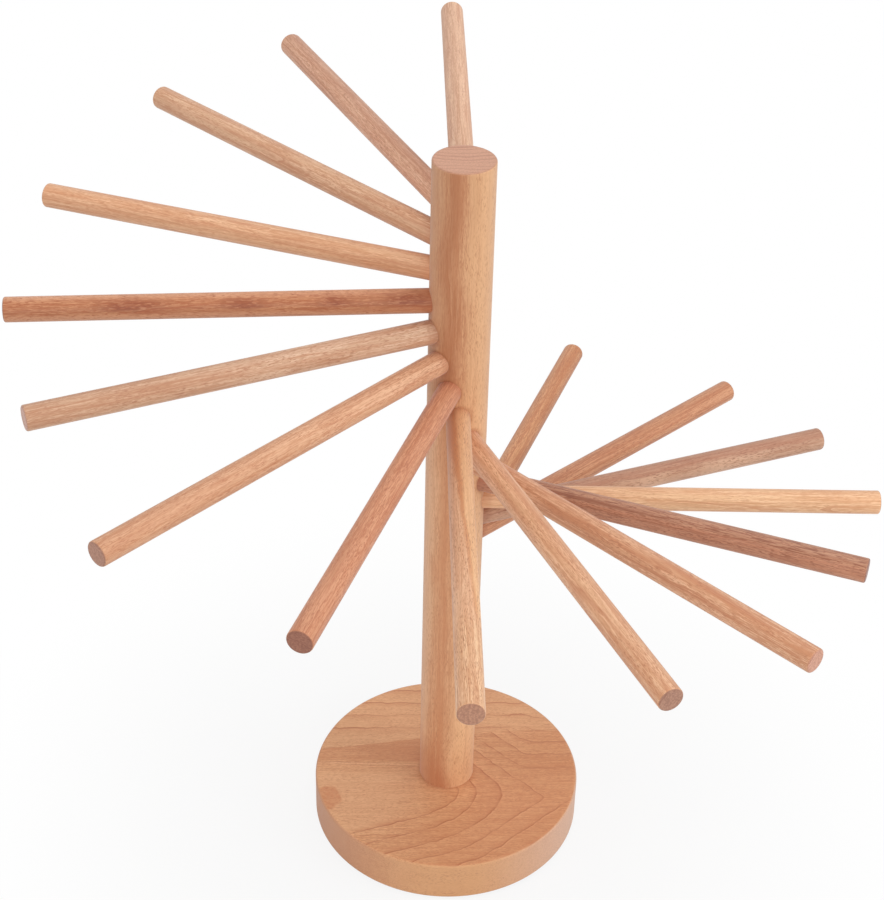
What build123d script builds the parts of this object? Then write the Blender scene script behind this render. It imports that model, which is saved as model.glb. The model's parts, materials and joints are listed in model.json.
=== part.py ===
# Spiral pasta drying rack: a round beech base, an upright post and sixteen rods that push
# into sockets drilled down the post in one falling turn. Fresh pasta hangs over the rods.
# Millimetres and degrees, +Z up. The origin is on the post's axis, where the rack rests.
from build123d import *
from math import cos, radians, sin
import os

# Base disc
base_diameter = 147.0
base_thickness = 24.0
base_top_break = 1.2
base_foot_break = 1.0

# Felt glued under the base, which also hides the bolt
felt_thickness = 1.5
felt_margin = 4.0

# Rods, counted from the top of the post downwards
rod_count = 16
rods_per_turn = 16
rod_diameter = 12.0
rod_length = 212.0
rod_tip_break = 1.0
rod_root_break = 0.8
first_rod_bearing = 90.0

# The rods are drilled and cut by hand, so each socket strays from its even place in the turn
# by a share of one step, and each rod is longer or shorter by a share of its length
bearing_stray_shares = (
    -0.01, 0.05, -0.05, 0.09, 0.13, -0.01, 0.03, 0.13,
    -0.02, -0.01, -0.07, 0.01, -0.06, -0.12, -0.17, 0.06,
)
length_stray_shares = (
    -0.027, 0.0, 0.03, 0.007, -0.013, -0.025, 0.027, -0.03,
    0.04, 0.003, 0.02, -0.036, 0.0, -0.008, 0.0, 0.023,
)

# Post, with the wood left above, between and below its sockets
post_diameter = 30.0
post_head_length = 10.0
post_web_length = 2.3
post_leg_length = 142.0
post_top_break = 0.8

# Sockets in the post. The clearance is all round the rod, and the gap is past its inner end
socket_depth = 11.0
socket_clearance = 0.05
socket_end_gap = 0.2

# Bolt that draws the post down on to the base, with a hexagon socket in its low head
bolt_diameter = 8.0
bolt_engagement = 14.0
bolt_point_break = 0.8
bolt_head_overhang = 3.0
bolt_head_height = 4.4
bolt_head_rim = 1.6
bolt_head_land = 1.7
hex_key_width = 5.0
hex_key_depth = 2.6
bolt_hole_clearance = 0.4
bolt_tip_room = 8.0

# Washer under the bolt's head
washer_overhang = 2.0
washer_thickness = 1.6
washer_bore_clearance = 0.2

# Recess in the base's underside that hides the washer and the bolt's head
recess_side_clearance = 1.5
recess_cover = 3.0

# Threaded insert in the foot of the post
insert_wall = 2.0
insert_length = 18.0
insert_setback = 0.5
insert_fit_clearance = 0.05
insert_lead_break = 0.8

# Extra length that lets a cutter start outside a surface
overrun = 2.0

# Radii and lengths that follow from the sizes above
rod_radius = rod_diameter / 2
socket_radius = rod_radius + socket_clearance
rod_drop = 2 * socket_radius + post_web_length
post_radius = post_diameter / 2
post_height = post_head_length + 2 * socket_radius + (rod_count - 1) * rod_drop + post_leg_length
bolt_radius = bolt_diameter / 2
bolt_head_radius = bolt_radius + bolt_head_overhang
washer_radius = bolt_head_radius + washer_overhang
recess_radius = washer_radius + recess_side_clearance
recess_depth = washer_thickness + bolt_head_height + recess_cover
insert_bore_radius = bolt_radius + insert_fit_clearance
insert_radius = insert_bore_radius + insert_wall

# Levels, and distances from the post's axis, that follow from them
base_bottom = felt_thickness
base_top = base_bottom + base_thickness
post_top = base_top + post_height
first_rod_level = post_top - post_head_length - socket_radius
socket_floor = post_radius - socket_depth
rod_root = socket_floor + socket_end_gap
washer_top = base_bottom + recess_depth
bolt_seat = washer_top - washer_thickness
bolt_head_bottom = bolt_seat - bolt_head_height
bolt_tip = base_top + bolt_engagement


def own_share(shares, index):
    """A rod's own share from a table, which starts again where there are more rods."""
    return shares[index % len(shares)]


def rod_plane(index):
    """Plane on the post's axis at a rod's level, with its normal out along the rod."""
    place = index + own_share(bearing_stray_shares, index)
    bearing = radians(first_rod_bearing + place * 360 / rods_per_turn)
    level = first_rod_level - index * rod_drop
    return Plane(origin=(0, 0, level), x_dir=(0, 0, 1), z_dir=(cos(bearing), sin(bearing), 0))


# Base: a turned disc with its rims eased, bored and recessed from below for the bolt
with BuildPart() as base:
    with BuildSketch(Plane.XY.offset(base_bottom)):
        Circle(base_diameter / 2)
    extrude(amount=base_thickness)
    chamfer(base.edges().sort_by(Axis.Z)[-1], base_top_break)
    chamfer(base.edges().sort_by(Axis.Z)[0], base_foot_break)
    with Locations(Plane(origin=(0, 0, base_bottom), z_dir=(0, 0, -1))):
        CounterBoreHole(
            radius=bolt_radius + bolt_hole_clearance,
            counter_bore_radius=recess_radius,
            counter_bore_depth=recess_depth,
            depth=base_thickness,
        )
base.part.label = "base"

# Felt: a thin disc just short of the base's rim, which the rack stands on
with BuildPart() as base_felt:
    with BuildSketch():
        Circle(base_diameter / 2 - felt_margin)
    extrude(amount=felt_thickness)
base_felt.part.label = "base_felt"

# Post: a dowel with its top edge eased and a falling spiral of blind sockets. The stepped hole
# in its foot takes the threaded insert and leaves room for the bolt's point
with BuildPart() as post:
    with BuildSketch(Plane.XY.offset(base_top)):
        Circle(post_radius)
    extrude(amount=post_height)
    chamfer(post.edges().sort_by(Axis.Z)[-1], post_top_break)
    for index in range(rod_count):
        with Locations(rod_plane(index).offset(post_radius + overrun)):
            Hole(radius=socket_radius, depth=overrun + socket_depth)
    with Locations(Plane(origin=(0, 0, base_top), z_dir=(0, 0, -1))):
        CounterBoreHole(
            radius=bolt_radius + bolt_hole_clearance,
            counter_bore_radius=insert_radius + insert_fit_clearance,
            counter_bore_depth=insert_setback + insert_length,
            depth=bolt_engagement + bolt_tip_room,
        )
post.part.label = "post"

# Rods: plain dowels, eased at the free end and a little less at the end in the socket
rods = []
for index in range(rod_count):
    outwards = Axis((0, 0, 0), rod_plane(index).z_dir)
    with BuildPart() as rod:
        with BuildSketch(rod_plane(index).offset(rod_root)):
            Circle(rod_radius)
        extrude(amount=rod_length * (1 + own_share(length_stray_shares, index)))
        chamfer(rod.faces().sort_by(outwards)[-1].edges(), rod_tip_break)
        chamfer(rod.faces().sort_by(outwards)[0].edges(), rod_root_break)
    rod.part.label = f"rod_{index + 1:02d}"
    rods.append(rod)

# Bolt: a low bevelled head facing down with a hexagon socket, and a plain shank up into the
# insert
with BuildPart() as base_bolt:
    with BuildSketch(Plane.XZ):
        with BuildLine():
            Polyline(
                (0, bolt_tip),
                (bolt_radius, bolt_tip),
                (bolt_radius, bolt_seat),
                (bolt_head_radius, bolt_seat),
                (bolt_head_radius, bolt_seat - bolt_head_rim),
                (hex_key_width / 2 + bolt_head_land, bolt_head_bottom),
                (0, bolt_head_bottom),
                close=True,
            )
        make_face()
    revolve(axis=Axis.Z)
    chamfer(base_bolt.edges().sort_by(Axis.Z)[-1], bolt_point_break)
    with BuildSketch(Plane.XY.offset(bolt_head_bottom)):
        RegularPolygon(hex_key_width / 2, 6, major_radius=False)
    extrude(amount=hex_key_depth, mode=Mode.SUBTRACT)
base_bolt.part.label = "base_bolt"

# Washer: spreads the bolt's pull over the recess's ceiling
with BuildPart() as bolt_washer:
    with BuildSketch(Plane.XY.offset(bolt_seat)):
        Circle(washer_radius)
        Circle(bolt_radius + washer_bore_clearance, mode=Mode.SUBTRACT)
    extrude(amount=washer_thickness)
bolt_washer.part.label = "bolt_washer"

# Insert: a brass sleeve sunk a little way into the post's foot, its leading end broken
with BuildPart() as post_insert:
    with BuildSketch(Plane.XY.offset(base_top + insert_setback)):
        Circle(insert_radius)
        Circle(insert_bore_radius, mode=Mode.SUBTRACT)
    extrude(amount=insert_length)
    leading_end = post_insert.edges().group_by(Axis.Z)[-1]
    chamfer(leading_end.sort_by(SortBy.RADIUS)[-1], insert_lead_break)
post_insert.part.label = "post_insert"

# One file for each piece
os.makedirs("parts", exist_ok=True)
for piece in [base, base_felt, post, base_bolt, bolt_washer, post_insert] + rods:
    export_step(piece.part, f"parts/{piece.part.label}.step")
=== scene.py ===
# %% [markdown]
# # A spiral rack for drying fresh pasta
#
# A round beech base carries an upright post. Sixteen beech rods push into sockets that fall down
# the post in one turn, like a spiral stair, and strands of fresh pasta hang over them. The solids
# come first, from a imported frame, and this lesson dresses them: each wooden piece is modelled
# again with its eased edges and gets beech made from nothing but shader maths.

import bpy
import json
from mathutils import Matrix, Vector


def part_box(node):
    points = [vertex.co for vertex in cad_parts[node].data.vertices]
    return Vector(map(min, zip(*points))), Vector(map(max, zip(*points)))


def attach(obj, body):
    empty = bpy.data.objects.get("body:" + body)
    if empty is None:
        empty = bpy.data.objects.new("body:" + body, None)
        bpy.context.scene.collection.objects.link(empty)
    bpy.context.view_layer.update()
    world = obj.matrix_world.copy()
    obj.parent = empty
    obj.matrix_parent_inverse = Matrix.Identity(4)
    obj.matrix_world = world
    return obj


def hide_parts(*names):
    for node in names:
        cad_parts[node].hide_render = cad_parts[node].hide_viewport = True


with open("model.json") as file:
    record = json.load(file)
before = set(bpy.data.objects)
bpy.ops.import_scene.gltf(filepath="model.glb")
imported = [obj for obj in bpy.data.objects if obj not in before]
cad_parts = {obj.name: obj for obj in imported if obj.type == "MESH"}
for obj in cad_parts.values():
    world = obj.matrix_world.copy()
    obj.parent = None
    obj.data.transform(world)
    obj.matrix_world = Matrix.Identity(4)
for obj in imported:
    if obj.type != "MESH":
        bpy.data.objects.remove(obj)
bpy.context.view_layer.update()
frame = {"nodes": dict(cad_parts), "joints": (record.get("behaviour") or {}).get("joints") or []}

# %% Tools from Blender and Python
import json
from math import atan2, hypot, pi, radians

import bmesh
import bpy
from mathutils import Euler, Matrix, Vector

scene = bpy.context.scene
MM = 0.001

# %% [markdown]
# ## The camera
#
# The photograph looks down on the rack from the front, from a little over a metre away. The rods
# are straight and their number, drop and length are known, so the place and the lens of the
# camera can be worked out from their outlines. A guess by eye would put the near rods wrong,
# because they come close to the lens and grow in the picture.

# %% Camera
camera_place = (-0.0387, -0.7954, 0.8023)
heading, pitch, roll = radians(2.287), radians(-34.991), radians(1.446)
camera = bpy.data.objects.new("camera", bpy.data.cameras.new("camera"))
scene.collection.objects.link(camera)
camera.matrix_world = (
    Matrix.Translation(camera_place)
    @ Matrix.Rotation(-heading, 4, "Z")
    @ Matrix.Rotation(pi / 2 + pitch, 4, "X")
    @ Matrix.Rotation(roll, 4, "Z")
)
camera.data.sensor_width = 36
camera.data.lens = 77.86
camera.data.clip_start = 0.05
camera.data.clip_end = 30
scene.camera = camera
print("Camera distance from the post's axis:", round(hypot(*camera.location.xy), 3))

# %% [markdown]
# ## Shader maths that reads as sums
#
# A material in Blender is a web of nodes. Dozens of Math nodes placed by hand hide what they
# work out, so one small class wraps a node's output and adds a Math node whenever it is added,
# multiplied or divided. Any other node comes from one method, which sets the node up first and
# feeds its sockets after that.


# %% A value on a surface
class Value:
    """What one node gives, so that a sum of values adds Math nodes."""

    def __init__(self, recipe, socket):
        self.recipe = recipe
        self.socket = socket

    def other_output(self, name):
        return Value(self.recipe, self.socket.node.outputs[name])

    def __add__(self, other):
        return self.recipe.maths("ADD", self, other)

    def __radd__(self, other):
        return self.recipe.maths("ADD", other, self)

    def __sub__(self, other):
        return self.recipe.maths("SUBTRACT", self, other)

    def __rsub__(self, other):
        return self.recipe.maths("SUBTRACT", other, self)

    def __mul__(self, other):
        return self.recipe.maths("MULTIPLY", self, other)

    def __rmul__(self, other):
        return self.recipe.maths("MULTIPLY", other, self)

    def __truediv__(self, other):
        return self.recipe.maths("DIVIDE", self, other)

    def __rtruediv__(self, other):
        return self.recipe.maths("DIVIDE", other, self)

    def __pow__(self, other):
        return self.recipe.maths("POWER", self, other)


# %% A recipe of nodes
class Recipe:
    """The nodes of one material, or of the world."""

    def __init__(self, tree):
        self.tree = tree

    def feed(self, socket, value):
        """Links a value to a socket, or writes a plain number or colour into it."""
        if isinstance(value, Value):
            self.tree.links.new(value.socket, socket)
        elif socket.type == "RGBA" and len(value) == 3:
            socket.default_value = (*value, 1)
        else:
            socket.default_value = value

    def node(self, kind, settings, sockets, output=0):
        """Adds one node: its settings first, then its sockets' values and links."""
        made = self.tree.nodes.new("ShaderNode" + kind)
        for setting, value in settings.items():
            setattr(made, setting, value)
        for name, value in sockets.items():
            self.feed(made.inputs[name], value)
        return Value(self, made.outputs[output])

    def maths(self, operation, *values):
        return self.node("Math", {"operation": operation}, dict(enumerate(values)))

    def between(self, value, low, high):
        """0 up to low, 1 from high on, and a smooth slope from one to the other."""
        sockets = {"Value": value, "From Min": low, "From Max": high}
        return self.node("MapRange", {"interpolation_type": "SMOOTHSTEP"}, sockets)

    def mix(self, share, first, second):
        """The first colour, with a share of the second in its place."""
        return self.node("Mix", {"data_type": "RGBA"}, {0: share, 6: first, 7: second}, 2)

    def brighter(self, colour, factor):
        """A colour times a value."""
        sockets = {"Vector": colour, "Scale": factor}
        return self.node("VectorMath", {"operation": "SCALE"}, sockets)

    def filtered(self, colour, tint):
        """A colour times another colour."""
        return self.node("VectorMath", {"operation": "MULTIPLY"}, {0: colour, 1: tint})

    def point(self, x, y=0.0, z=0.0):
        """A point from its coordinates, of which the missing ones are 0."""
        return self.node("CombineXYZ", {}, {0: x, 1: y, 2: z})


def tinted(colour, tint):
    """A plain colour times another, worked out here because neither changes over a surface."""
    return tuple(first * second for first, second in zip(colour, tint))


# %% [markdown]
# ## The studio
#
# The rack stands in soft daylight from all round. A large lamp hangs over it, a little behind, and
# others stand at the right, the front and the left. A lamp's power is worked out from the share of
# the plain level that it should give: a surface that faces a lamp of P watts at distance d shines
# with its own colour times P / (pi d) squared, so a share s needs s (pi d) squared watts. The
# background is pure white to the camera and in reflections, and gives everything else a weaker,
# even light. The floor keeps the rack's soft shadow. It lies a hair below the felt and is clear to
# a camera that looks up from beneath it, so that the underside shows too.


# %% Lamps
def lamp(name, place, size, share):
    """A square soft lamp that faces the middle of the rack and gives a share of plain light."""
    middle = Vector((0, 0, 0.2))
    made = bpy.data.objects.new(name, bpy.data.lights.new(name, "AREA"))
    scene.collection.objects.link(made)
    made.location = place
    made.rotation_euler = (middle - made.location).to_track_quat("-Z", "Y").to_euler()
    made.data.size = size
    made.data.energy = share * (pi * (middle - made.location).length) ** 2
    print(name, "gives", share, "of the plain level with", round(made.data.energy, 1), "W")


lamp("top_lamp", (0.6, 0.4, 2.3), 1.4, 0.26)
lamp("key_lamp", (1.9, -0.8, 1.2), 1.2, 0.26)
lamp("front_lamp", (0.0, -2.3, 0.9), 1.2, 0.21)
lamp("side_lamp", (-1.9, -0.5, 0.9), 1.6, 0.20)

# %% World
world = bpy.data.worlds.new("studio")
scene.world = world
world.use_nodes = True
sky = Recipe(world.node_tree)
light_path = sky.node("LightPath", {}, {}, "Is Camera Ray")
shown = sky.maths("MAXIMUM", light_path, light_path.other_output("Is Glossy Ray"))
shown = sky.maths("MAXIMUM", shown, light_path.other_output("Is Transmission Ray"))
ambient = 0.50
background = world.node_tree.nodes["Background"]
background.inputs["Color"].default_value = (1, 1, 1, 1)
sky.feed(background.inputs["Strength"], ambient + shown * (1 - ambient))
print("The studio's even light is", ambient, "of the plain level")


# %% Floor
def finish(name, roughness):
    """A new material with its main shader, and the recipe for its nodes."""
    material = bpy.data.materials.new(name)
    material.use_nodes = True
    shader = material.node_tree.nodes["Principled BSDF"]
    shader.inputs["Roughness"].default_value = roughness
    return material, shader, Recipe(material.node_tree)


floor_width, floor_drop = 12, 0.2 * MM
bpy.ops.object.select_all(action="DESELECT")
bpy.ops.mesh.primitive_plane_add(size=floor_width, location=(0, 0, -floor_drop))
floor = bpy.context.object
floor.name = "floor"
paper, paper_shader, paper_recipe = finish("studio_paper", 0.9)
paper_shader.inputs["Base Color"].default_value = (0.74, 0.74, 0.74, 1)
paper_shader.inputs["Specular IOR Level"].default_value = 0
glow = paper_recipe.node("Emission", {}, {"Color": (1, 1, 1), "Strength": 1.0})
spot = paper_recipe.node("TexCoord", {}, {}, "Object")
away = paper_recipe.node("VectorMath", {"operation": "LENGTH"}, {"Vector": spot}, "Value")
white = 0.87 + paper_recipe.between(away, 0.09, 0.3) * 0.13
to_camera = paper_recipe.node("LightPath", {}, {}, "Is Camera Ray")
lit_paper = Value(paper_recipe, paper_shader.outputs[0])
sockets = {0: to_camera * white, 1: lit_paper, 2: glow}
from_above = paper_recipe.node("MixShader", {}, sockets)
beneath = paper_recipe.node("NewGeometry", {}, {}, "Backfacing")
clear = paper_recipe.node("BsdfTransparent", {}, {})
sockets = {0: to_camera * beneath, 1: from_above, 2: clear}
paper_mix = paper_recipe.node("MixShader", {}, sockets)
paper_recipe.feed(paper.node_tree.nodes["Material Output"].inputs["Surface"], paper_mix)
floor.data.materials.append(paper)
scene.view_settings.view_transform = "Standard"
print("Floor of pale paper,", floor_width, "m square, which fades to white past the rack")

# %% [markdown]
# ## Tools for modelling by hand
#
# Each wooden piece starts as a primitive at its real size and is then shaped in edit mode. An
# operator works on all that is selected, so the faces or edges that it needs are picked in code,
# by where they are or which way they face.


# %% Helpers for selecting, placing and copying
def only(piece):
    """Selects one piece alone and makes it the active one."""
    bpy.ops.object.select_all(action="DESELECT")
    piece.select_set(True)
    bpy.context.view_layer.objects.active = piece


def settle(piece):
    """Puts a piece's place and turn into its mesh, so that its object sits at the origin."""
    only(piece)
    bpy.ops.object.transform_apply(location=True, rotation=True, scale=True)


def start_edit(piece):
    only(piece)
    bpy.ops.object.mode_set(mode="EDIT")


def end_edit():
    bpy.ops.object.mode_set(mode="OBJECT")


def pick(piece, mode, test):
    """Selects the faces, edges or vertices in edit mode that pass a test."""
    bpy.ops.mesh.select_mode(type=mode)
    bpy.ops.mesh.select_all(action="DESELECT")
    work = bmesh.from_edit_mesh(piece.data)
    items = {"FACE": work.faces, "EDGE": work.edges, "VERT": work.verts}[mode]
    found = [item for item in items if test(item)]
    for item in found:
        item.select_set(True)
    work.select_flush_mode()
    bmesh.update_edit_mesh(piece.data)
    return len(found)


def cut_across(point, direction):
    """Adds an edge loop all the way round at a plane, which keeps an eased edge crisp."""
    bpy.ops.mesh.select_all(action="SELECT")
    bpy.ops.mesh.bisect(plane_co=point, plane_no=direction)


def copy_of(piece, name):
    """A copy with a mesh of its own."""
    twin = piece.copy()
    twin.data = piece.data.copy()
    twin.name = twin.data.name = name
    scene.collection.objects.link(twin)
    return twin


def cylinder(name, sides, radius, low, high):
    """An upright cylinder between two heights, with its place in its mesh."""
    bpy.ops.object.select_all(action="DESELECT")
    bpy.ops.mesh.primitive_cylinder_add(
        vertices=sides, radius=radius, depth=high - low, location=(0, 0, (low + high) / 2)
    )
    made = bpy.context.object
    made.name = made.data.name = name
    settle(made)
    return made


def on_ring(edge, height, radius):
    """Whether both ends of an edge are at a height and at a distance from the upright axis."""
    height_slack, radius_slack = 0.02 * MM, 0.1 * MM
    return all(
        abs(end.co.z - height) < height_slack
        and abs(hypot(end.co.x, end.co.y) - radius) < radius_slack
        for end in edge.verts
    )


def smooth(piece):
    """Smooth shading, with corners sharper than 35 degrees kept."""
    only(piece)
    bpy.ops.object.shade_smooth_by_angle(angle=radians(35))


# %% [markdown]
# ## The base
#
# The base is a disc turned from a thick board, with its rims eased by sandpaper. A bolt comes up
# through it from a wide recess underneath. Two plain discs and a boolean would give the same
# outline, but with a knife-edge rim that catches no light, so the recess is inset and pushed up
# from the underside, the bore is bridged through, and the rims get a small round.

# %% Turn the base
low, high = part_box("base")
base_radius = (high.x - low.x) / 2
washer_low, washer_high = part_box("bolt_washer")
washer_room = 1.5 * MM
recess_radius = (washer_high.x - washer_low.x) / 2 + washer_room
recess_depth = washer_high.z - low.z
bore_radius = 4.4 * MM
foot_border, top_border = 2 * MM, 2.6 * MM
foot_loop, top_loop = 1.6 * MM, 2.2 * MM
base = cylinder("beech_base", 192, base_radius, low.z, high.z)
start_edit(base)
cut_across((0, 0, low.z + foot_loop), (0, 0, 1))
cut_across((0, 0, high.z - top_loop), (0, 0, 1))
pick(base, "FACE", lambda face: face.normal.z < -0.9)
bpy.ops.mesh.inset(thickness=foot_border)
bpy.ops.mesh.inset(thickness=base_radius - foot_border - recess_radius)
bpy.ops.mesh.extrude_region_move(TRANSFORM_OT_translate={"value": (0, 0, recess_depth)})
bpy.ops.mesh.inset(thickness=recess_radius - bore_radius)
bpy.ops.mesh.delete(type="FACE")
pick(base, "FACE", lambda face: face.normal.z > 0.9 and face.calc_center_median().z > high.z - MM)
bpy.ops.mesh.inset(thickness=top_border)
bpy.ops.mesh.inset(thickness=base_radius - top_border - bore_radius)
bpy.ops.mesh.delete(type="FACE")
pick(base, "EDGE", lambda edge: edge.is_boundary)
bpy.ops.mesh.bridge_edge_loops()

# %% Ease the base's rims
top_round, foot_round = 1.6 * MM, 1.1 * MM
print("Top rim edges:", pick(base, "EDGE", lambda edge: on_ring(edge, high.z, base_radius)))
bpy.ops.mesh.bevel(offset=top_round, segments=5, affect="EDGES")
print("Foot rim edges:", pick(base, "EDGE", lambda edge: on_ring(edge, low.z, base_radius)))
bpy.ops.mesh.bevel(offset=foot_round, segments=4, affect="EDGES")
end_edit()
smooth(base)
print("Base:", len(base.data.vertices), "vertices")

# %% [markdown]
# ## The post
#
# The post is one long dowel. Its foot has a stepped hole for a threaded insert, and its sockets
# are drilled square to the axis, each a little lower and further round than the last. The post
# is built upwards from its plain leg by pushing the top face up once for each rod, which leaves
# a ring of edges in every web. Then one boolean drills all the sockets, and the faces that it
# cuts stay short, so they shade well.

# %% Bearings, levels and reaches of the rods
rods = {}
for joint in frame["joints"]:
    axis = Vector(joint["axis"]).normalized()
    rod_name = joint["child"]
    corners = [vertex.co for vertex in frame["nodes"][rod_name].data.vertices]
    rods[rod_name] = {
        "bearing": atan2(axis.y, axis.x),
        "level": sum(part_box(rod_name), Vector()).z / 2,
        "root": min(corner.dot(axis) for corner in corners),
        "reach": max(corner.dot(axis) for corner in corners),
    }
levels = [rod["level"] for rod in rods.values()]
rod_drop = levels[0] - levels[1]
print(len(rods), "rods, each", round(rod_drop / MM, 2), "mm lower than the last")

# %% Raise the post web by web
low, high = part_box("post")
post_radius = (high.x - low.x) / 2
insert_hole_radius, insert_hole_depth = 6.1 * MM, 18.5 * MM
bolt_room = 3.5 * MM
head_round, head_border, head_loop = 0.9 * MM, 1.6 * MM, 1.4 * MM
post = cylinder("beech_post", 128, post_radius, low.z, levels[-1] - rod_drop / 2)
start_edit(post)
pick(post, "FACE", lambda face: face.normal.z > 0.9)
for _ in levels:
    bpy.ops.mesh.extrude_region_move(TRANSFORM_OT_translate={"value": (0, 0, rod_drop)})
head = high.z - (levels[0] + rod_drop / 2)
bpy.ops.mesh.extrude_region_move(TRANSFORM_OT_translate={"value": (0, 0, head)})
bpy.ops.mesh.inset(thickness=head_border)
cut_across((0, 0, high.z - head_loop), (0, 0, 1))
pick(post, "FACE", lambda face: face.normal.z < -0.9)
bpy.ops.mesh.inset(thickness=post_radius - insert_hole_radius)
bpy.ops.mesh.extrude_region_move(TRANSFORM_OT_translate={"value": (0, 0, insert_hole_depth)})
bpy.ops.mesh.inset(thickness=insert_hole_radius - bore_radius)
bpy.ops.mesh.extrude_region_move(TRANSFORM_OT_translate={"value": (0, 0, bolt_room)})
print("Head edges:", pick(post, "EDGE", lambda edge: on_ring(edge, high.z, post_radius)))
bpy.ops.mesh.bevel(offset=head_round, segments=4, affect="EDGES")
end_edit()

# %% Drill the sockets
socket_radius = 6.05 * MM
socket_floor = 4 * MM
overrun = 3 * MM
drill = cylinder("drill", 64, socket_radius, socket_floor, post_radius + overrun)
drills = []
for rod_name, rod in rods.items():
    bit = copy_of(drill, "drill_" + rod_name)
    bit.rotation_euler = (0, pi / 2, rod["bearing"])
    bit.location = (0, 0, rod["level"])
    settle(bit)
    drills.append(bit)
bpy.data.objects.remove(drill)
only(drills[0])
for bit in drills:
    bit.select_set(True)
bpy.ops.object.join()
cut = post.modifiers.new("sockets", "BOOLEAN")
cut.operation = "DIFFERENCE"
cut.solver = "EXACT"
cut.object = drills[0]
only(post)
bpy.ops.object.modifier_apply(modifier="sockets")
bpy.data.objects.remove(drills[0])
smooth(post)
print("Post:", len(post.data.vertices), "vertices and", len(rods), "sockets")

# %% [markdown]
# ## The rods
#
# The rods are cut from one long run of 12 mm dowel, and the free ends are rounded over a little.
# One dowel is modelled along the X axis. Each copy gets its own length by moving its free end
# only, so that the rounding isn't stretched, and is then turned to its bearing and raised to
# its level.

# %% Model one dowel
dowel_radius, dowel_length = 6 * MM, 0.2
tip_round, root_round = 1.0 * MM, 0.8 * MM
tip_loop, root_loop, end_border = 1.6 * MM, 1.4 * MM, 1.5 * MM
dowel = cylinder("dowel", 64, dowel_radius, 0, dowel_length)
start_edit(dowel)
cut_across((0, 0, root_loop), (0, 0, 1))
cut_across((0, 0, dowel_length - tip_loop), (0, 0, 1))
pick(dowel, "FACE", lambda face: abs(face.normal.z) > 0.9)
bpy.ops.mesh.inset(thickness=end_border)
pick(dowel, "EDGE", lambda edge: on_ring(edge, dowel_length, dowel_radius))
bpy.ops.mesh.bevel(offset=tip_round, segments=4, affect="EDGES")
pick(dowel, "EDGE", lambda edge: on_ring(edge, 0, dowel_radius))
bpy.ops.mesh.bevel(offset=root_round, segments=3, affect="EDGES")
end_edit()
dowel.rotation_euler = (0, pi / 2, 0)
settle(dowel)
smooth(dowel)
print("Dowel:", len(dowel.data.vertices), "vertices")

# %% Cut, turn and raise the sixteen rods
for rod_name, rod in rods.items():
    made = copy_of(dowel, "beech_" + rod_name)
    start_edit(made)
    pick(made, "VERT", lambda vertex: vertex.co.x > dowel_length / 2)
    extra = rod["reach"] - rod["root"] - dowel_length
    bpy.ops.transform.translate(value=(extra, 0, 0))
    bpy.ops.mesh.select_all(action="SELECT")
    bpy.ops.transform.translate(value=(rod["root"], 0, 0))
    end_edit()
    made.rotation_euler = (0, 0, rod["bearing"])
    made.location = (0, 0, rod["level"])
    settle(made)
    rod["piece"] = made
bpy.data.objects.remove(dowel)
print("Rods:", len(rods))

# %% [markdown]
# ## The felt under the base
#
# A thin disc of brown felt is glued under the base, where it hides the bolt and keeps the rack
# from scratching the table. It is cut from a flat sheet, so its rim is soft but upright.

# %% Cut the felt
low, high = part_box("base_felt")
felt_radius = (high.x - low.x) / 2
felt_round, felt_border = 0.4 * MM, 1 * MM
felt = cylinder("felt_disc", 160, felt_radius, low.z, high.z)
start_edit(felt)
pick(felt, "FACE", lambda face: abs(face.normal.z) > 0.9)
bpy.ops.mesh.inset(thickness=felt_border)
pick(
    felt,
    "EDGE",
    lambda edge: on_ring(edge, low.z, felt_radius) or on_ring(edge, high.z, felt_radius),
)
bpy.ops.mesh.bevel(offset=felt_round, segments=3, affect="EDGES")
end_edit()
smooth(felt)
print("Felt:", len(felt.data.vertices), "vertices")

# %% [markdown]
# ## Beech
#
# Beech is a quiet wood: a pinkish tan with thin darker lines where one year's growth ends and
# the next begins, short dark flecks along the grain, fine fibres, and slow changes from pink to
# straw. An image would repeat and stretch over the ends. Here the wood is a solid block worked
# out in three dimensions, so the lines on the side of a piece meet the rings on its end. Every
# piece gets its own grain direction, its own place in the tree and its own seed.


# %% Noise along the grain
def patches(wood, place, length, width, seed, detail=1.0):
    """Soft noise from 0 to 1, in patches of a length along the grain and a width across it."""
    place = wood.node(
        "Mapping",
        {},
        {
            "Vector": place,
            "Location": (31.7 * seed, 17.3 * seed, 7.9 * seed),
            "Scale": (1 / length, 1 / width, 1 / width),
        },
    )
    return wood.node("TexNoise", {}, {"Vector": place, "Scale": 1.0, "Detail": detail})


def waved(wood, place, reach, seed):
    """The same place pushed sideways by up to about a reach, so that straight fibres wave."""
    push = patches(wood, place, 28, 6, seed, 1.5).other_output("Color")
    push = wood.node("VectorMath", {"operation": "SUBTRACT"}, {0: push, 1: (0.5, 0.5, 0.5)})
    sockets = {0: push, 1: (0, reach, reach), 2: place}
    return wood.node("VectorMath", {"operation": "MULTIPLY_ADD"}, sockets)


# %% Years of growth and sawn ends
def growth(wood, place, x, y, z, years, seed, drift, line_start):
    """Shares of late wood, of its border and of early wood, and a shade for each year."""
    wander = (patches(wood, place, 80, 18, seed + 1, 1.5) - 0.5) * drift
    ripple = (patches(wood, place, 14, 4, seed + 2) - 0.5) * 1.1
    age = years(wood, x, y, z, wander + ripple, seed)
    season = wood.maths("FRACT", age)
    late = wood.between(season, 0.5, 0.97) * (1 - wood.between(season, 0.97, 1.0))
    border = wood.between(season, line_start, 0.97) * (1 - wood.between(season, 0.97, 1.0))
    early = 1 - wood.between(season, 0.0, 0.12)
    year = wood.maths("FLOOR", age) + seed
    shade = wood.node("TexWhiteNoise", {"noise_dimensions": "1D"}, {"W": year})
    return late, border, early, shade


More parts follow.
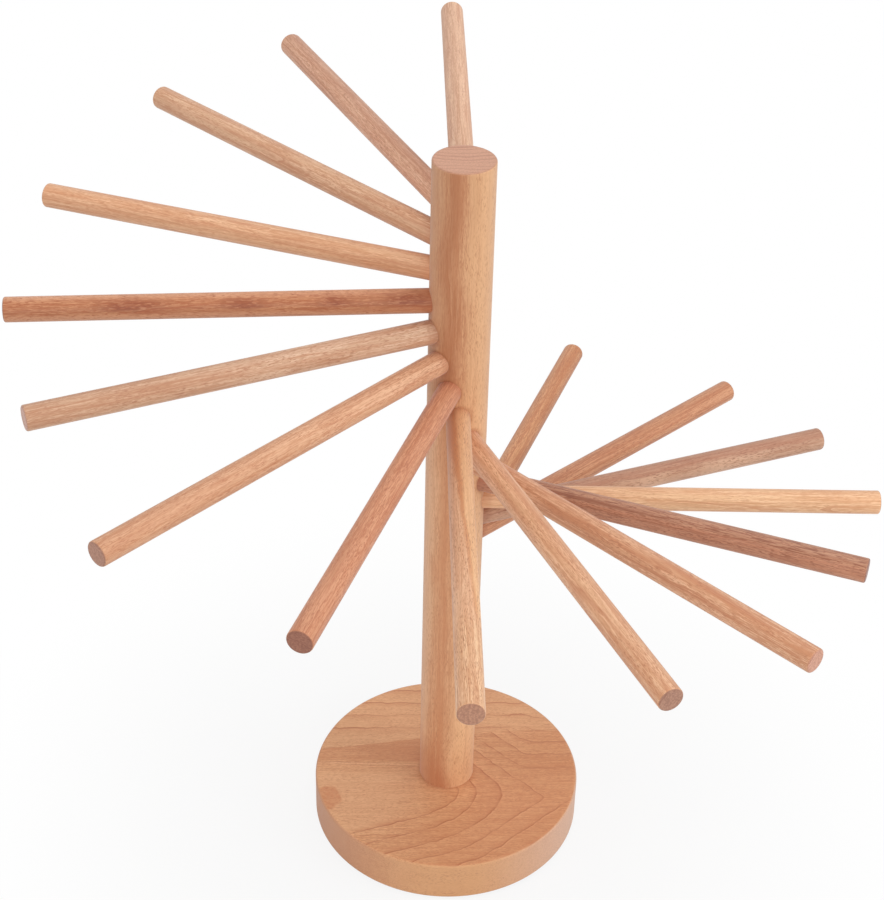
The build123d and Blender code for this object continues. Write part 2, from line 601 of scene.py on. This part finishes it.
def sawn_end(wood, place, off_axis, rings, tint, speckle, rim, seed):
    """The colour of a sawn end: speckled with pores, ringed, and darker towards its rim."""
    pores = wood.between(patches(wood, place, 6, 0.8, seed + 10, 3.0), 0.4, 0.62)
    bright, dark = tinted(tint, (1.12, 1.12, 1.10)), tinted(tint, (0.72, 0.62, 0.60))
    colour = wood.mix(pores * speckle, bright, dark)
    colour = wood.mix(rings, colour, tinted(tint, (0.66, 0.50, 0.46)))
    towards_rim = wood.between(off_axis, rim - 1.2, rim)
    return wood.mix(towards_rim * 0.4, colour, tinted(tint, (0.60, 0.50, 0.46)))


# %% Beech from shader maths
def beech(
    name,
    tone,
    origin,
    turn,
    years,
    ends,
    seed,
    end_tint,
    figure=None,
    fleck=0.5,
    drift=6.0,
    long=1.0,
    contrast=1.0,
    bands=0.9,
    line_start=0.86,
    lines=1.0,
    line_floor=0.1,
    streaks=0.3,
    end_lines=0.5,
    speckle=0.7,
    rim=6.0,
    line_share=None,
):
    """Solid beech. Its grain runs along X once the piece is turned back, in millimetres.

    The shares with a default say how strongly each part of the look shows. More than 1 for long
    stretches the fibres along the grain, and rim is how far the end grain's edge is off the axis.
    """
    material, shader, wood = finish(name, 0.5)
    shader.inputs["Sheen Weight"].default_value = 0.2
    place = wood.node(
        "Mapping",
        {"vector_type": "TEXTURE"},
        {
            "Vector": wood.node("TexCoord", {}, {}, "Object"),
            "Location": origin,
            "Rotation": turn,
            "Scale": (MM, MM, MM),
        },
    )
    x = wood.node("SeparateXYZ", {}, {"Vector": place})
    y, z = x.other_output("Y"), x.other_output("Z")
    # Years of growth, which fade in and out
    late, border, early, shade = growth(wood, place, x, y, z, years, seed, drift, line_start)
    fade = wood.between(patches(wood, place, 45, 7, seed + 3), 0.35, 0.65)
    # Fibres, which wave a little: dark ones are redder and pale ones are closer to straw
    fibres = waved(wood, place, 1.6, seed + 11)
    band = patches(wood, fibres, 36 * long, 1.1, seed + 16, 2.0) - 0.5
    strand = patches(wood, fibres, 18 * long, 0.5, seed + 6, 2.0) - 0.5
    hair = patches(wood, fibres, 4 * long, 0.32, seed + 7, 1.0) - 0.5
    light = (band * bands + strand * 0.9 + hair) * contrast + (shade - 0.5) * 0.25
    light = wood.between(0.5 + light, 0.1, 0.9)
    colour = wood.mix(light, tinted(tone, (0.82, 0.69, 0.60)), tinted(tone, (1.12, 1.20, 1.23)))
    # Slow changes from pink to straw, and the wood's own figure where it has one
    rosy = wood.between(patches(wood, fibres, 55, 2.2, seed + 4, 2.0), 0.44, 0.64)
    straw = wood.between(patches(wood, place, 60, 2.6, seed + 5, 2.0), 0.5, 0.7)
    colour = wood.mix(rosy * streaks, colour, tinted(tone, (0.82, 0.66, 0.56)))
    colour = wood.mix(straw * 0.4, colour, tinted(tone, (1.05, 1.14, 1.12)))
    if figure:
        colour = figure(wood, x, y, z, colour, tone)
    # Late wood, the pale start of the next year, and short dark flecks
    seen = line_share(wood, x, y) if line_share else 1.0
    shadow = late * (fade * 0.22 + 0.06) * lines * seen
    colour = wood.mix(shadow, colour, tinted(tone, (0.74, 0.54, 0.44)))
    line = border * (fade * 0.35 + line_floor) * lines * seen
    colour = wood.mix(line, colour, tinted(tone, (0.62, 0.36, 0.26)))
    colour = wood.mix(early * fade * 0.35 * seen, colour, tinted(tone, (1.12, 1.22, 1.26)))
    dash = wood.between(patches(wood, fibres, 2.4 * long, 0.36, seed + 8), 0.53, 0.66)
    dash = dash * (wood.between(patches(wood, place, 26, 4, seed + 9), 0.3, 0.6) * 0.7 + 0.3)
    colour = wood.mix(dash * fleck, colour, tinted(tone, (0.68, 0.49, 0.40)))
    # End grain, where the piece is sawn across
    cut = ends(wood, x, y, z)
    off_axis = (y * y + z * z) ** 0.5
    rings = (border * 0.7 + late * 0.5) * end_lines
    end_colour = sawn_end(wood, place, off_axis, rings, end_tint, speckle, rim, seed)
    colour = wood.mix(cut, colour, end_colour)
    wood.feed(shader.inputs["Base Color"], colour)
    wood.feed(shader.inputs["Roughness"], 0.52 + hair * 0.3 + cut * 0.1)
    relief = strand * 0.5 + hair * 0.5 - dash * 0.4
    bump = wood.node("Bump", {}, {"Strength": 0.5, "Distance": 0.1 * MM, "Height": relief})
    wood.feed(shader.inputs["Normal"], bump)
    print(name, "has", len(material.node_tree.nodes), "nodes")
    return material


# %% Years in a dowel, and its cut end
def dowel_years(pith, taper, ring, uneven=1.3):
    """Rings of a width round a pith that lies to the side of the dowel, in millimetres."""

    def years(wood, x, y, z, drift, seed):
        count = (((y - pith) ** 2 + z * z) ** 0.5 + x * taper + drift) / ring
        sockets = {"W": count * 0.37 + seed, "Detail": 0.0}
        return count + wood.node("TexNoise", {"noise_dimensions": "1D"}, sockets) * uneven

    return years


def cut_past(end):
    """The end grain that shows past a distance along the grain, in millimetres."""

    def ends(wood, x, y, z):
        return wood.between(x, end - 0.6, end - 0.1)

    return ends


# %% [markdown]
# ### The board that the base was turned from
#
# The board was sawn along the side of the log, so its face shows nested arches. Four slopes make
# them, and each slope counts years upwards in its own direction. A line of one year is a level line
# of the highest slope at each place: it comes in from the left, turns where two slopes meet and
# goes back to the left as the lower arm of an arch. Level lines turn sharply where two slopes just
# meet, and softly where a soft maximum blends them.

# %% Beech for the base
def board_years(wood, x, y, z, drift, seed):
    place = wood.point(x, y)
    x = x + drift + (patches(wood, place, 9, 9, seed + 12) - 0.5) * 2.6
    y = y + drift * 0.6 + (patches(wood, place, 9, 9, seed + 13) - 0.5) * 2.6
    x = x + (patches(wood, place, 2.6, 2.6, seed + 14) - 0.5) * 0.7
    y = y + (patches(wood, place, 2.6, 2.6, seed + 15) - 0.5) * 0.7
    front_left = (x * 0.32 - y - 32.5) / 10.4 + 1
    front_right = (x * 0.853 - y - 28.5) / 13.6 + 1
    front = wood.maths("SMOOTH_MAX", front_left, front_right, 0.75)
    rising = (x + y + 4.1) / 12.1 + 1
    turned_aside = wood.maths("MAXIMUM", (y - 2.5) / 9.85, (y - 2.5) * 0.035) + 5
    right = wood.maths("SMOOTH_MIN", rising, turned_aside, 0.6)
    softness = (1 - wood.between(wood.maths("ABSOLUTE", x - 22.5), 8, 26.4)) * 4.14 + 0.25
    arches = wood.maths("SMOOTH_MAX", front, right, softness)
    crowded = (y - x * 0.156 - 21.8) / 1.2 + 3
    level = wood.maths("MAXIMUM", (y - 34.5) / 10.4, (y - 34.5) * 0.06) + 8
    back = wood.maths("SMOOTH_MIN", crowded, level, 0.5)
    left = wood.maths("MINIMUM", (x * 0.042 + y) * 0.55 + 0.15, 2.4)
    left = wood.maths("MAXIMUM", left, 0.6)
    years = wood.maths("SMOOTH_MAX", wood.maths("SMOOTH_MAX", arches, back, 0.3), left, 0.3)
    return years + (z - 25.5) * 0.012


def board_figure(wood, x, y, z, colour, tone):
    """Straw behind, redder wood in front, a wedge and a knot at the left, and painted shade."""
    red = tinted(tone, (0.84, 0.62, 0.50))
    pale_straw = tinted(tone, (1.10, 1.24, 1.34))
    place = wood.point(x, y)
    blur = (patches(wood, place, 8, 5, 4.4) - 0.5) * 3
    tilted = y - wood.maths("MINIMUM", x, 28) * 0.156 + blur * wood.between(x, -20, 20)
    back = wood.between(tilted, 26.3, 27.6)
    colour = wood.mix(back * 0.4, colour, pale_straw)
    brink = wood.between(tilted, 25.6, 26.4) * (1 - wood.between(tilted, 26.4, 27.2))
    colour = wood.mix(brink * (1 - wood.between(x, -20, 20)) * 0.45, colour, red)
    outside = wood.maths("MAXIMUM", y * 0.6 - 2, x * 0.32 - y - 34)
    plain = (1 - wood.between(x, -45, 0)) * (1 - wood.between(outside, -6, 0))
    colour = wood.mix(plain * 0.45, colour, pale_straw)
    colour = wood.mix((1 - back) * wood.between(x - y * 0.8, -10, 60) * 0.4, colour, red)
    wedge = wood.between(y + x * 0.042, 3.5, 7) * (1 - back) * (1 - wood.between(x, -20, 10))
    grained = wood.between(patches(wood, place, 40, 1.4, 7.7, 2.0), 0.3, 0.65) * 0.4 + 0.6
    wedge = wedge * grained * (wood.between(x, -75, -15) * 0.4 + 0.2)
    colour = wood.mix(wedge, colour, tinted(tone, (0.80, 0.58, 0.47)))
    groove = wood.maths("ABSOLUTE", y + x * 0.046 - 2.4)
    pale_line = (1 - wood.between(groove, 0.1, 0.9)) * (1 - wood.between(x, -25, -8))
    colour = wood.mix(pale_line * 0.6, colour, tinted(tone, (1.15, 1.30, 1.40)))
    from_knot = ((x + 66) ** 2 + ((y + 23) * 0.85) ** 2) ** 0.5 + blur * 2.2
    knot = (1 - wood.between(from_knot, 6.8, 8.4)) * (1 - board_rim(wood, x, y) * 0.75)
    whorl = wood.between(patches(wood, place, 3, 1.6, 9.1, 2.0), 0.35, 0.65)
    colour = wood.mix(knot * (whorl * 0.35 + 0.5), colour, red)
    radius = (x * x + y * y) ** 0.5
    # Painted shade on the disc's top round the post's foot
    foot = 1 - wood.between(radius, 14.8, 17.5)
    colour = wood.mix(foot * 0.4, colour, tinted(tone, (0.60, 0.42, 0.34)))
    # Painted shade on the left of the disc's side
    shaded = board_rim(wood, x, y) * (1 - wood.between(x, -65, -20))
    colour = wood.mix(shaded * 0.75, colour, tinted(tone, (0.72, 0.60, 0.57)))
    orange = board_rim(wood, x, y) * wood.between(x, -55, -5)
    return wood.mix(orange * 0.65, colour, tinted(tone, (1.05, 1.12, 0.96)))


def board_rim(wood, x, y):
    """1 on the side of the disc and 0 on its faces."""
    edge = base_radius / MM
    return wood.between((x * x + y * y) ** 0.5, edge - 1.0, edge - 0.3)


def board_lines(wood, x, y):
    """The share of the year lines that shows: less on the sanded side of the disc."""
    return 1 - board_rim(wood, x, y) * 0.93


def board_ends(wood, x, y, z):
    """End grain where the rim crosses the grain."""
    return board_rim(wood, x, y) * (wood.between(x, 10, 66) * 0.7 + 0.1)


base_finish = beech(
    "beech_board",
    (0.740, 0.374, 0.186),
    (0, 0, 0),
    (0, 0, 0),
    board_years,
    board_ends,
    3.1,
    (0.70, 0.44, 0.32),
    board_figure,
    fleck=0.62,
    drift=2.0,
    long=0.7,
    contrast=1.7,
    bands=0.35,
    line_start=0.87,
    lines=1.5,
    line_floor=0.22,
    end_lines=0.1,
    speckle=0.35,
    rim=200.0,
    line_share=board_lines,
)


# %% [markdown]
# ### The post's wood
#
# The post runs from straw at its right, brightened further with painted light from the right, to
# redder wood at its left, with a pale band of painted light along its left edge. Painted shade
# darkens it round each socket, and high up and at its foot, most of all on its left. Rounding
# finds the nearest socket: the height says how many sockets lie above, and their number gives
# that socket's bearing.


# %% Beech for the post
def past_socket(wood, x, y, z):
    """How far a place on the post's surface is from the middle of the nearest socket."""
    first_bearing, step = pi / 2, 2 * pi / len(levels)
    drop, radius = rod_drop / MM, post_radius / MM
    below_first = levels[0] / MM - x
    count = wood.maths("ROUND", below_first / drop)
    count = wood.maths("MAXIMUM", wood.maths("MINIMUM", count, len(levels) - 1.0), 0.0)
    above = below_first - count * drop
    bearing = wood.maths("ARCTAN2", y, 0 - z)
    turned = wood.maths("COSINE", bearing - (count * step + first_bearing))
    chord_squared = (1 - turned) * (2 * radius**2)
    return (above * above + chord_squared) ** 0.5


def post_figure(wood, x, y, z, colour, tone):
    """Straw at the right, a red streak at the left, and painted light and shade on the post."""
    lean = (patches(wood, wood.point(x), 60, 1, 5.2) - 0.5) * 14
    across = z + lean
    # Straw wood at the right, made brighter still as painted light from the right
    straw = 1 - wood.between(across, -9, 3)
    colour = wood.mix(straw * 0.8, colour, tinted(tone, (1.28, 1.45, 1.44)))
    # A pale band of painted light along the post's left edge
    left_edge_painted_light = wood.between(across, 9, 13)
    colour = wood.mix(left_edge_painted_light * 0.5, colour, tinted(tone, (1.10, 1.24, 1.35)))
    streak = 1 - wood.between(wood.maths("ABSOLUTE", across - 5), 0.5, 7)
    fringe = patches(wood, wood.point(x, y, z), 80, 1.6, 6.1, 2.0)
    streak = streak * (wood.between(fringe, 0.3, 0.6) * 0.6 + 0.4)
    colour = wood.mix(streak * 0.75, colour, tinted(tone, (0.84, 0.635, 0.51)))
    # Painted shade in a ring round each socket, where the rod meets the post
    socket_painted_shade = 1 - wood.between(past_socket(wood, x, y, z), 5.8, 8.6)
    colour = wood.mix(socket_painted_shade * 0.5, colour, tinted(tone, (0.72, 0.50, 0.40)))
    # Painted shade high up on the post, strongest on its left
    upper = wood.between(x, 262, 292) * (0.42 + wood.between(across, 0, 6) * 0.58)
    colour = wood.mix(upper, colour, wood.filtered(colour, (0.77, 0.71, 0.67)))
    # Painted shade at the foot, where the post meets the base, strongest on its left
    foot = (1 - wood.between(x, 32, 72)) * (0.2 + wood.between(across, -4, 3) * 0.4)
    return wood.mix(foot, colour, tinted(tone, (0.66, 0.42, 0.32)))


post_finish = beech(
    "beech_post_stock",
    (0.725, 0.382, 0.203),
    (0, 0, 0),
    (0, -pi / 2, 0),
    dowel_years(60, 0.006, 3.2, 0.5),
    cut_past(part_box("post")[1].z / MM),
    8.4,
    (0.612, 0.317, 0.205),
    post_figure,
    fleck=0.6,
    drift=4.0,
    contrast=1.6,
    bands=0.6,
    lines=0.5,
    end_lines=0.6,
    speckle=0.35,
    rim=15.0,
)


# %% [markdown]
# ### Sixteen different rods
#
# The rods of one rack come from different boards, and it shows. A table holds what differs from
# rod to rod, and one loop makes the materials. Four rods have a figure that catches the eye, so
# each of those has a function of its own, which takes the colour worked out so far and gives a
# new one.


# %% Beech for the rods
def curly_figure(wood, x, y, z, colour, tone):
    """A dark streak down a rod's front, brown patches, pale ticks and painted light at its edges.
    """
    place = wood.point(x, y, z)
    cloud = (patches(wood, place, 9, 2.6, 2.3, 2.0) - 0.5) * 5
    across = z * 0.86 - y * 0.51 - 0.4 + cloud * 0.5
    shade = (1 - wood.between(x, 20, 75)) * 0.25 + 0.4
    # Each patch's middle along the rod, how far it reaches and how dark it is
    brown_patches = ((24, 16, 0.5), (60, 11, 0.6), (102, 16, 0.65), (154, 25, 0.75))
    for middle, reach, share in brown_patches:
        along = wood.maths("ABSOLUTE", x - middle + cloud)
        shade = shade + (1 - wood.between(along, 0, reach)) * share
    from_middle = wood.maths("ABSOLUTE", across)
    # Painted light: the rod's two edges, seen from the front, made paler
    edges = wood.between(from_middle, 2.6, 4.8)
    colour = wood.mix(edges * 0.7, colour, tinted(tone, (1.26, 1.50, 1.85)))
    band = 1 - wood.between(from_middle, 1.0, 5.0)
    colour = wood.mix(band * shade, colour, tinted(tone, (0.52, 0.32, 0.26)))
    ticks = wood.between(patches(wood, place, 4, 0.6, 6.6), 0.52, 0.64)
    return wood.mix(ticks * 0.45, colour, tinted(tone, (1.20, 1.35, 1.50)))


def crossed_figure(wood, x, y, z, colour, tone):
    """Straw-coloured wood that crosses a pinker rod at a slant, with a brown line at its side."""
    place = wood.point(x, y, z)
    side = y - (x - 15) * 0.053 + 4.5 + (patches(wood, place, 12, 3, 1.9, 2.0) - 0.5) * 2.4
    before = 1 - wood.between(x, 160, 185)
    straw = wood.between(side, -0.4, 0.8) * before
    colour = wood.mix(straw * 0.6, colour, tinted(tone, (1.10, 1.08, 0.90)))
    colour = wood.mix((1 - straw) * before * 0.35, colour, tinted(tone, (0.98, 0.92, 0.98)))
    broad = 4.4 - wood.between(x, 10, 110) * 3.0
    brown = (1 - wood.between(wood.maths("ABSOLUTE", side - 0.2) / broad, 0.2, 1.0)) * before
    brown = brown * (1 - wood.between(x, 40, 150) * 0.35)
    return wood.mix(brown * 0.9, colour, tinted(tone, (0.78, 0.52, 0.33)))


def two_faced_figure(wood, x, y, z, colour, tone):
    """A rod that is brown and flecked along its upper side and redder below a dark line."""
    place = wood.point(x, y, z)
    across = y * 0.605 + z * 0.796 + (patches(wood, place, 24, 3, 3.6) - 0.5) * 2
    below = 1 - wood.between(across, -0.5, 1.5)
    colour = wood.mix(below * 0.55, colour, tinted(tone, (1.16, 1.00, 0.90)))
    colour = wood.mix((1 - below) * 0.5, colour, tinted(tone, (1.10, 1.16, 1.10)))
    ticks = wood.between(patches(wood, place, 8, 0.5, 5.8), 0.5, 0.6) * (1 - below * 0.6)
    colour = wood.mix(ticks * 0.9, colour, tinted(tone, (0.50, 0.33, 0.26)))
    seam = 1 - wood.between(wood.maths("ABSOLUTE", across - 2.0), 0.3, 1.5)
    seam = seam * (1 - wood.between(x, 70, 130) * 0.8)
    return wood.mix(seam * 0.8, colour, tinted(tone, (0.54, 0.36, 0.30)))


def patched_figure(wood, x, y, z, colour, tone):
    """A rod with two long pale patches low on its side, and red fibres above them."""
    place = wood.point(x, y, z)
    across = z * 0.775 + y * 0.633 + (patches(wood, place, 18, 2.5, 4.8, 2.0) - 0.5) * 6
    low = 1 - wood.between(across, -0.8, 1.0)
    first = 1 - wood.between(wood.maths("ABSOLUTE", x - 158), 4, 30)
    second = 1 - wood.between(wood.maths("ABSOLUTE", x - 108), 2, 22)
    colour = wood.mix((1 - low) * 0.4, colour, tinted(tone, (0.98, 0.80, 0.74)))
    pale = (first + second) * low * 0.6 + low * 0.3
    return wood.mix(pale, colour, tinted(tone, (1.26, 1.38, 1.38)))


def changing_rod(own_figure, upward, lower_painted_light, outer_gain):
    """A rod's figure, its outer half's tone, and painted light and shade below and at the root."""
    lower_painted_tint = [1 + lower_painted_light * share for share in (1, 1.25, 1.4)]
    outer_tint = [1 + outer_gain * share for share in (1, 1.7, 2.2)]

    def figure(wood, x, y, z, colour, tone):
        if own_figure:
            colour = own_figure(wood, x, y, z, colour, tone)
        # Painted light and shade: the lower side, as the camera sees it, is made paler or darker
        below = 1 - wood.between(y * upward.y + z * upward.z, -4.5, 2.5)
        outer = wood.between(x, 40, 170)
        colour = wood.filtered(colour, wood.mix(below, (1, 1, 1), lower_painted_tint))
        colour = wood.filtered(colour, wood.mix(outer, (1, 1, 1), outer_tint))
        # Painted shade where the rod goes into the post
        root_painted_shade = 1 - wood.between(x, 14.5, 21)
        return wood.mix(root_painted_shade * 0.45, colour, tinted(tone, (0.72, 0.50, 0.40)))

    return figure


# For each rod: its slot, tone, turn about its own axis, width of a year, flecks and streaks, the
# depth of its end's colour, how much paler its lower side is with painted light (below 0, darker
# with painted shade), how much paler its outer half is, and the contrast of its fibres
rod_looks = {
    "rod_01": ("beech_pale", (0.768, 0.445, 0.279), 40, 2.4, 0.3, 0.3, 1.0, 0.08, 0.0, 1.5),
    "rod_02": ("beech_pink", (0.647, 0.343, 0.215), 115, 2.0, 0.6, 0.4, 1.0, 0.16, 0.0, 2.1),
    "rod_03": ("beech_tan", (0.779, 0.458, 0.282), 200, 2.6, 0.65, 0.4, 1.0, -0.15, 0.0, 1.9),
    "rod_04": ("beech_tan", (0.873, 0.503, 0.298), 75, 3.0, 0.5, 0.4, 1.0, -0.18, 0.0, 1.4),
    "rod_05": ("beech_russet", (0.638, 0.275, 0.129), 0, 2.2, 0.9, 0.3, 0.9, -0.16, 0.0, 2.6),
    "rod_06": ("beech_pink", (0.740, 0.473, 0.320), 160, 1.8, 0.82, 0.6, 1.25, 0.0, -0.12, 1.8),
    "rod_07": ("beech_tan", (0.760, 0.414, 0.242), 20, 2.8, 0.7, 0.3, 0.87, 0.0, -0.05, 1.6),
    "rod_08": ("beech_pink", (0.674, 0.298, 0.160), 250, 2.5, 0.65, 0.4, 0.76, 0.0, 0.0, 1.8),
    "rod_09": ("beech_tan", (0.737, 0.399, 0.217), 0, 2.0, 0.7, 0.5, 1.04, 0.0, 0.22, 1.7),
    "rod_10": ("beech_tan", (0.816, 0.454, 0.264), 335, 2.7, 0.7, 0.7, 0.82, 0.0, 0.0, 1.35),
    "rod_11": ("beech_tan", (0.788, 0.434, 0.257), 130, 2.3, 0.83, 1.0, 1.32, 0.0, 0.0, 2.3),
    "rod_12": ("beech_russet", (0.543, 0.264, 0.162), 0, 1.9, 0.9, 0.3, 1.0, 0.0, 0.0, 1.8),
    "rod_13": ("beech_pale", (0.950, 0.578, 0.338), 10, 3.1, 0.4, 0.25, 1.0, 0.0, 0.0, 1.35),
    "rod_14": ("beech_pink", (0.545, 0.302, 0.197), 0, 2.0, 0.7, 0.5, 1.0, 0.12, 0.0, 1.4),
    "rod_15": ("beech_russet", (0.628, 0.288, 0.150), 60, 2.4, 0.6, 0.7, 1.0, 0.16, 0.0, 1.55),
    "rod_16": ("beech_pink", (0.674, 0.312, 0.149), 180, 2.9, 0.7, 0.7, 1.0, -0.06, 0.0, 2.3),
}
rod_figures = {
    "rod_05": curly_figure,
    "rod_09": crossed_figure,
    "rod_12": two_faced_figure,
    "rod_14": patched_figure,
}
# The direction in which the photograph looks, which tells a rod's upper side from its lower one
sight = Vector((0, 0.82, -0.57))
for number, (rod_name, rod) in enumerate(rods.items()):
    looks = rod_looks[rod_name]
    rod["slot"], tone, turned, ring, fleck, streaks = looks[:6]
    end_depth, lower_painted_light, outer_gain, contrast = looks[6:]
    turn = (radians(turned), 0, rod["bearing"])
    facing = Euler(turn).to_matrix()
    upward = (facing @ Vector((1, 0, 0))).cross(sight).normalized()
    upward = upward * (1 if upward.z > 0 else -1) @ facing
    pith = 22 + 9 * (number % 4)
    seed = 11.3 + number * 2.7
    rod["finish"] = beech(
        "beech_of_" + rod_name,
        tone,
        (0, 0, rod["level"]),
        turn,
        dowel_years(pith, 0.012, ring),
        cut_past(rod["reach"] / MM),
        seed,
        tinted(tone, (0.66 * end_depth, 0.62 * end_depth, 0.72 * end_depth)),
        changing_rod(rod_figures.get(rod_name), upward, lower_painted_light, outer_gain),
        fleck=fleck * 1.2,
        contrast=contrast,
        streaks=streaks,
    )

# %% [markdown]
# ## Felt and metal
#
# Felt is a mat of short wool fibres that lie every way, so it gets a fine twisted noise for the
# fibres and a broad one for its cloudy colour. The bolt and its washer are zinc-plated steel,
# turned on a lathe, so fine rings run round their axis, and the insert is brass, made in the same
# way.

# %% Brown felt
felt_finish, felt_shader, felt_recipe = finish("brown_felt", 0.95)
felt_shader.inputs["Sheen Weight"].default_value = 0.3
felt_place = felt_recipe.node("TexCoord", {}, {}, "Object")
mat = felt_recipe.node(
    "TexNoise", {}, {"Vector": felt_place, "Scale": 900.0, "Detail": 3.0, "Distortion": 2.0}
)
cloud = felt_recipe.node("TexNoise", {}, {"Vector": felt_place, "Scale": 60.0, "Detail": 2.0})
wool = felt_recipe.mix(mat, (0.05, 0.032, 0.022), (0.17, 0.115, 0.08))
wool = felt_recipe.brighter(wool, 0.8 + cloud * 0.4)
felt_recipe.feed(felt_shader.inputs["Base Color"], wool)
felt_bump = felt_recipe.node("Bump", {}, {"Strength": 0.8, "Distance": 0.3 * MM, "Height": mat})
felt_recipe.feed(felt_shader.inputs["Normal"], felt_bump)


# %% Turned metal
def turned_metal(name, colour, roughness):
    """Metal from a lathe, with fine rings round the upright axis and a little staining."""
    material, shader, metal = finish(name, roughness)
    shader.inputs["Metallic"].default_value = 1.0
    place = metal.node("TexCoord", {}, {}, "Object")
    x = metal.node("SeparateXYZ", {}, {"Vector": place})
    y, z = x.other_output("Y"), x.other_output("Z")
    from_axis = (x * x + y * y) ** 0.5
    sockets = {"W": from_axis * 9000 + z * 9000, "Detail": 1.0}
    tooling = metal.node("TexNoise", {"noise_dimensions": "1D"}, sockets)
    stain = metal.node("TexNoise", {}, {"Vector": place, "Scale": 220.0, "Detail": 3.0})
    colour = metal.mix(stain * 0.5, colour, tinted(colour, (0.8, 0.78, 0.75)))
    metal.feed(shader.inputs["Base Color"], colour)
    metal.feed(shader.inputs["Roughness"], roughness - 0.08 + stain * 0.2)
    bump = metal.node("Bump", {}, {"Strength": 0.4, "Distance": 0.03 * MM, "Height": tooling})
    metal.feed(shader.inputs["Normal"], bump)
    return material


steel = turned_metal("plated_steel", (0.62, 0.62, 0.63), 0.35)
brass = turned_metal("turned_brass", (0.72, 0.52, 0.24), 0.32)
for node_name, metal_finish in (
    ("base_bolt", steel),
    ("bolt_washer", steel),
    ("post_insert", brass),
):
    frame["nodes"][node_name].material_slots[0].material = metal_finish
print("Steel and brass for the hidden fixing")

# %% [markdown]
# ## Bring the pieces together
#
# Every new piece rides on the body that carries it and stands for the solid that it was made from,
# which is hidden. The rods ride on bodies of their own, because each one pulls out of its socket.


# %% Ride and replace
def dress(piece, material, node_name, body):
    piece.data.materials.clear()
    piece.data.materials.append(material)
    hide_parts(node_name)
    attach(piece, body)


dress(base, base_finish, "base", "stand")
dress(post, post_finish, "post", "stand")
dress(felt, felt_finish, "base_felt", "stand")
for rod_name, rod in rods.items():
    dress(rod["piece"], rod["finish"], rod_name, rod_name)
